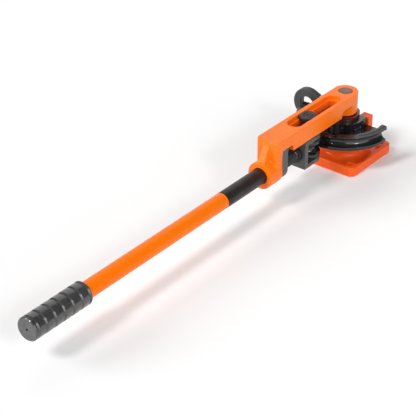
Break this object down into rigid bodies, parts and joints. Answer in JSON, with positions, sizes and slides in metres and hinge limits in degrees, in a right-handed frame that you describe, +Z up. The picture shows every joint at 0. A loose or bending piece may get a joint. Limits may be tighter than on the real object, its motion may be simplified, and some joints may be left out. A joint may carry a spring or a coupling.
{
  "type": "ratchet pipe bender",
  "caption": "Bench tube bender: a slotted swinging arm carries a screw-fed grooved roller round a half-round die, with a ratchet wheel, pawl, tube hook and long handle.",
  "frame": {"origin": "where the arm's pivot axis meets the bench, at the centre of the base's four bolt holes", "axes": "+Z up along the pivot axis, -X along the handle at rest"},
  "size_m": [0.978, 0.222, 0.1422],
  "materials": {
    "arm_paint": "gloss",
    "base_paint": "gloss",
    "tube_paint": "gloss",
    "black_gloss": "gloss",
    "black_satin": "satin",
    "black_oxide": "satin",
    "collar_paint": "gloss",
    "post_steel": "satin",
    "bright_steel": "satin",
    "bronze": "satin",
    "rubber": "gloss"
  },
  "bodies": {
    "base_body": {"base": "base_paint", "pivot_post": "post_steel", "post_washer": "bright_steel", "post_nut": "bright_steel", "bending_die": "black_gloss", "die_dowels": "bright_steel", "ratchet_wheel": "black_oxide", "collar": "collar_paint", "thrust_washer": "bronze", "hook_stud": "bright_steel", "hook_washer": "bright_steel", "hook_nut": "bright_steel"},
    "arm_body": {"arm": "arm_paint", "eye_bush": "bronze", "nut_plate": "black_satin", "nut_plate_screws": "black_oxide", "pawl_pin": "black_oxide"},
    "pawl_body": {"pawl": "black_oxide", "pawl_spring": "black_oxide"},
    "yoke_body": {"yoke": "black_satin", "roller_axle": "black_oxide", "roller_washers": "bright_steel"},
    "roller_body": {"roller": "black_gloss", "roller_bush": "bronze"},
    "handle_body": {"screw": "black_oxide", "screw_collar": "black_oxide", "collar_pin": "bright_steel", "swivel_clip": "bright_steel", "handle_tube": "tube_paint", "grip": "rubber"},
    "hook_body": {"tube_hook": "black_satin"}
  },
  "joints": [
    {"name": "arm_swing", "type": "hinge", "parent": "base_body", "child": "arm_body", "pos_m": [0, 0, 0.12], "axis": [0, 0, 1], "range_deg": [-60, 95]},
    {"name": "screw_turn", "type": "hinge", "parent": "yoke_body", "child": "handle_body", "pos_m": [-0.18, 0, 0.0765], "axis": [1, 0, 0], "range_deg": [-1801, 241]},
    {"name": "yoke_slide", "type": "slide", "parent": "arm_body", "child": "yoke_body", "axis": [1, 0, 0], "range_m": [-0.03, 0.004]},
    {"name": "roller_spin", "type": "hinge", "parent": "yoke_body", "child": "roller_body", "pos_m": [-0.1275, 0, 0.0765], "axis": [0, 0, 1], "continuous": true},
    {"name": "pawl_lift", "type": "hinge", "parent": "arm_body", "child": "pawl_body", "pos_m": [-0.06, -0.02, 0.0785], "axis": [0, 0, 1], "range_deg": [0, 20], "stiffness_Nm_per_rad": 0.05, "springref_deg": -17.19},
    {"name": "hook_swing", "type": "hinge", "parent": "base_body", "child": "hook_body", "pos_m": [0.0105, 0.056, 0.08], "axis": [0, 0, 1], "range_deg": [-75, 0]}
  ],
  "couplings": [
    {"joint": "screw_turn", "follows": "yoke_slide", "rad_per_m": 1047.2}
  ]
}
